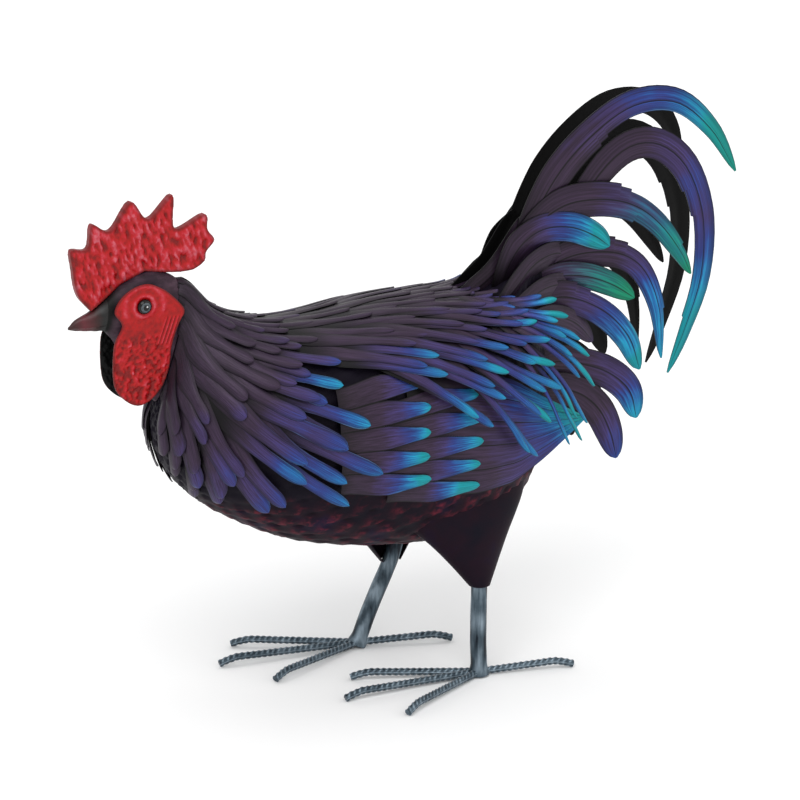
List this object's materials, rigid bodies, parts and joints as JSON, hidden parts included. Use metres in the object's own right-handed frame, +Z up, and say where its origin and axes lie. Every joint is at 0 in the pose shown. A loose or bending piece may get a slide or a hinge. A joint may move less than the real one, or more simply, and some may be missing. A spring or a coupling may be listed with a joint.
{
  "type": "metal rooster sculpture",
  "caption": "Standing rooster of painted sheet metal, with a pressed comb, layered feathers, an arched tail and feet of ribbed bar.",
  "frame": {"origin": "on the ground, under the middle of the box round the whole sculpture", "axes": "+Z up, the rooster faces -X, its left side is at -Y"},
  "size_m": [0.7442, 0.2654, 0.5884],
  "materials": {
    "dark_feathers": "satin metallic paint, charcoal to violet",
    "blue_feathers": "satin metallic paint, violet to cyan",
    "belly": "satin plum paint over pressed scales",
    "red": "satin crimson paint with rubbed highlights",
    "silver": "brushed blue-grey metallic paint",
    "eye": "gloss black"
  },
  "bodies": {
    "root": {"body": "belly", "head": "dark_feathers", "comb": "red", "neck_feathers_long": "dark_feathers", "neck_feathers_middle": "dark_feathers", "neck_feathers_collar": "dark_feathers", "saddle_feathers": "blue_feathers", "back_feathers_rear": "blue_feathers", "back_feathers_middle": "blue_feathers", "back_feathers_front": "blue_feathers", "face_left": "red", "eye_left": "eye", "flight_feathers_left": "blue_feathers", "wing_coverts_rear_left": "blue_feathers", "wing_coverts_front_left": "blue_feathers", "sickle_low_left": "blue_feathers", "sickle_top_left": "blue_feathers", "sickle_inner_left": "blue_feathers", "sickle_middle_left": "blue_feathers", "covert_upper_left": "blue_feathers", "covert_middle_left": "blue_feathers", "covert_lower_left": "blue_feathers", "covert_hanging_left": "blue_feathers", "covert_last_left": "blue_feathers", "thigh_left": "belly", "leg_left": "silver", "toe_inner_left": "silver", "toe_middle_left": "silver", "toe_outer_left": "silver", "toe_back_left": "silver", "face_right": "red", "eye_right": "eye", "flight_feathers_right": "blue_feathers", "wing_coverts_rear_right": "blue_feathers", "wing_coverts_front_right": "blue_feathers", "sickle_low_right": "blue_feathers", "sickle_top_right": "blue_feathers", "sickle_inner_right": "blue_feathers", "sickle_middle_right": "blue_feathers", "covert_upper_right": "blue_feathers", "covert_middle_right": "blue_feathers", "covert_lower_right": "blue_feathers", "covert_hanging_right": "blue_feathers", "covert_last_right": "blue_feathers", "thigh_right": "belly", "leg_right": "silver", "toe_inner_right": "silver", "toe_middle_right": "silver", "toe_outer_right": "silver", "toe_back_right": "silver"}
  },
  "joints": []
}
